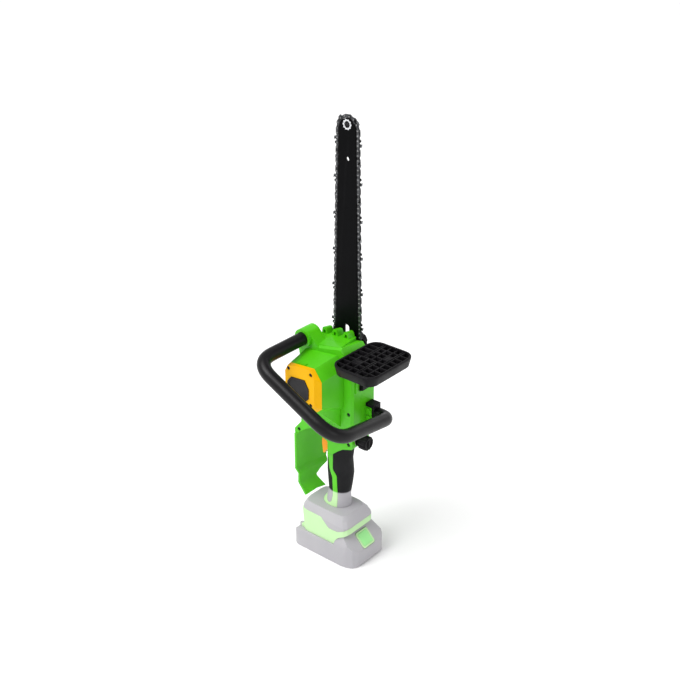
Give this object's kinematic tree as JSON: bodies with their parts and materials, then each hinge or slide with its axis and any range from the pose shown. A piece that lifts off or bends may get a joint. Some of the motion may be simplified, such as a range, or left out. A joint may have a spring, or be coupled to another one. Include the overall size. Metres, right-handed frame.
{
  "type": "cordless chainsaw",
  "caption": "Upright cordless chainsaw with guide bar and chain, wrap handle, front hand guard, rear trigger grip with knuckle guard, motor on one side and a slide-on battery as its foot.",
  "frame": {"origin": "centre of the battery's flat underside, which the saw stands on", "axes": "+Z forward along the guide bar, +X towards the saw's top and its hand guard, +Y towards the bar and sprocket cover side"},
  "size_m": [0.1663, 0.1777, 0.624],
  "materials": {
    "housing_green": "satin moulded, lime green",
    "black_plastic": "satin black, fine moulded grain",
    "grip_rubber": "matt soft overmould",
    "plate_yellow": "satin, orange yellow",
    "trigger_orange": "satin, orange",
    "dark_steel": "blackened",
    "steel": "ground",
    "copper": "enamelled winding wire",
    "pale_grey": "matt, pale grey",
    "pale_green": "matt, pale green",
    "tank_white": "natural, slightly translucent",
    "board": "solder mask",
    "cell_blue": "shrink sleeved can"
  },
  "bodies": {
    "root": {"bar_stud": "steel", "battery_socket": "pale_green", "controller_board": "board", "cover_screw_1": "dark_steel", "cover_screw_2": "dark_steel", "cover_screw_3": "dark_steel", "cover_screw_4": "dark_steel", "finger_grip": "grip_rubber", "foot_cover": "pale_grey", "front_bearing": "steel", "guard_pin": "steel", "guide_bar": "dark_steel", "handle_clamp": "black_plastic", "housing_screw_1": "dark_steel", "housing_screw_2": "dark_steel", "housing_screw_3": "dark_steel", "left_housing": "housing_green", "motor_cover": "plate_yellow", "motor_housing": "housing_green", "motor_hub_cover": "black_plastic", "oil_hose": "black_plastic", "oil_pump": "tank_white", "oil_tank": "tank_white", "palm_grip": "grip_rubber", "rear_bearing": "steel", "rear_hand_guard": "housing_green", "right_housing": "housing_green", "saw_chain": "dark_steel", "stator_coils": "copper", "stator_core": "steel", "terminal_block": "black_plastic", "trigger_switch": "black_plastic", "wiring_loom": "grip_rubber", "wrap_handle": "black_plastic"},
    "spindle": {"motor_rotor": "dark_steel", "drive_shaft": "steel", "cooling_fan": "black_plastic", "drive_sprocket": "dark_steel"},
    "nose": {"nose_sprocket": "steel"},
    "trigger_lever": {"trigger": "trigger_orange"},
    "lock_off": {"lock_off_button": "black_plastic"},
    "front_guard": {"hand_guard": "black_plastic", "guard_arm": "black_plastic"},
    "tank_cap": {"oil_cap": "black_plastic"},
    "side_cover": {"sprocket_cover": "black_plastic"},
    "bar_knob": {"cover_knob": "black_plastic"},
    "battery": {"battery_case": "pale_grey", "battery_lid": "pale_grey", "battery_cell_1": "cell_blue", "battery_cell_2": "cell_blue", "battery_cell_3": "cell_blue", "battery_cell_4": "cell_blue", "battery_cell_5": "cell_blue"},
    "battery_latch": {"battery_button": "pale_green"}
  },
  "joints": [
    {"name": "spindle_spin", "type": "hinge", "parent": "root", "child": "spindle", "pos_m": [-0.0125, 0, 0.275], "axis": [0, 1, 0], "continuous": true},
    {"name": "nose_spin", "type": "hinge", "parent": "root", "child": "nose", "pos_m": [-0.0125, 0.032, 0.6055], "axis": [0, 1, 0], "continuous": true},
    {"name": "trigger_pull", "type": "hinge", "parent": "root", "child": "trigger_lever", "pos_m": [-0.01, 0, 0.178], "axis": [0, -1, 0], "range_deg": [0, 6.5], "stiffness_Nm_per_rad": 0.1, "springref_deg": -28.65},
    {"name": "lock_off_press", "type": "slide", "parent": "root", "child": "lock_off", "axis": [0, -1, 0], "range_m": [0, 0.0035], "stiffness_N_per_m": 80, "springref_m": -0.01},
    {"name": "front_guard_tilt", "type": "hinge", "parent": "root", "child": "front_guard", "pos_m": [0.027, 0, 0.3], "axis": [0, -1, 0], "range_deg": [0, 15]},
    {"name": "tank_cap_turn", "type": "hinge", "parent": "root", "child": "tank_cap", "pos_m": [0.05, -0.004, 0.1925], "axis": [1, 0, 0], "range_deg": [0, 90]},
    {"name": "side_cover_slide", "type": "slide", "parent": "root", "child": "side_cover", "axis": [0, 1, 0], "range_m": [0, 0.04]},
    {"name": "bar_knob_turn", "type": "hinge", "parent": "side_cover", "child": "bar_knob", "pos_m": [-0.0125, 0.05, 0.304], "axis": [0, 1, 0], "continuous": true},
    {"name": "battery_slide", "type": "slide", "parent": "root", "child": "battery", "axis": [1, 0, 0], "range_m": [0, 0.06]},
    {"name": "battery_latch_press", "type": "slide", "parent": "battery", "child": "battery_latch", "axis": [-0.7071, 0, -0.7071], "range_m": [0, 0.0025], "stiffness_N_per_m": 150, "springref_m": -0.01}
  ],
  "couplings": [
    {"joint": "nose_spin", "follows": "spindle_spin", "ratio": 1.125}
  ]
}
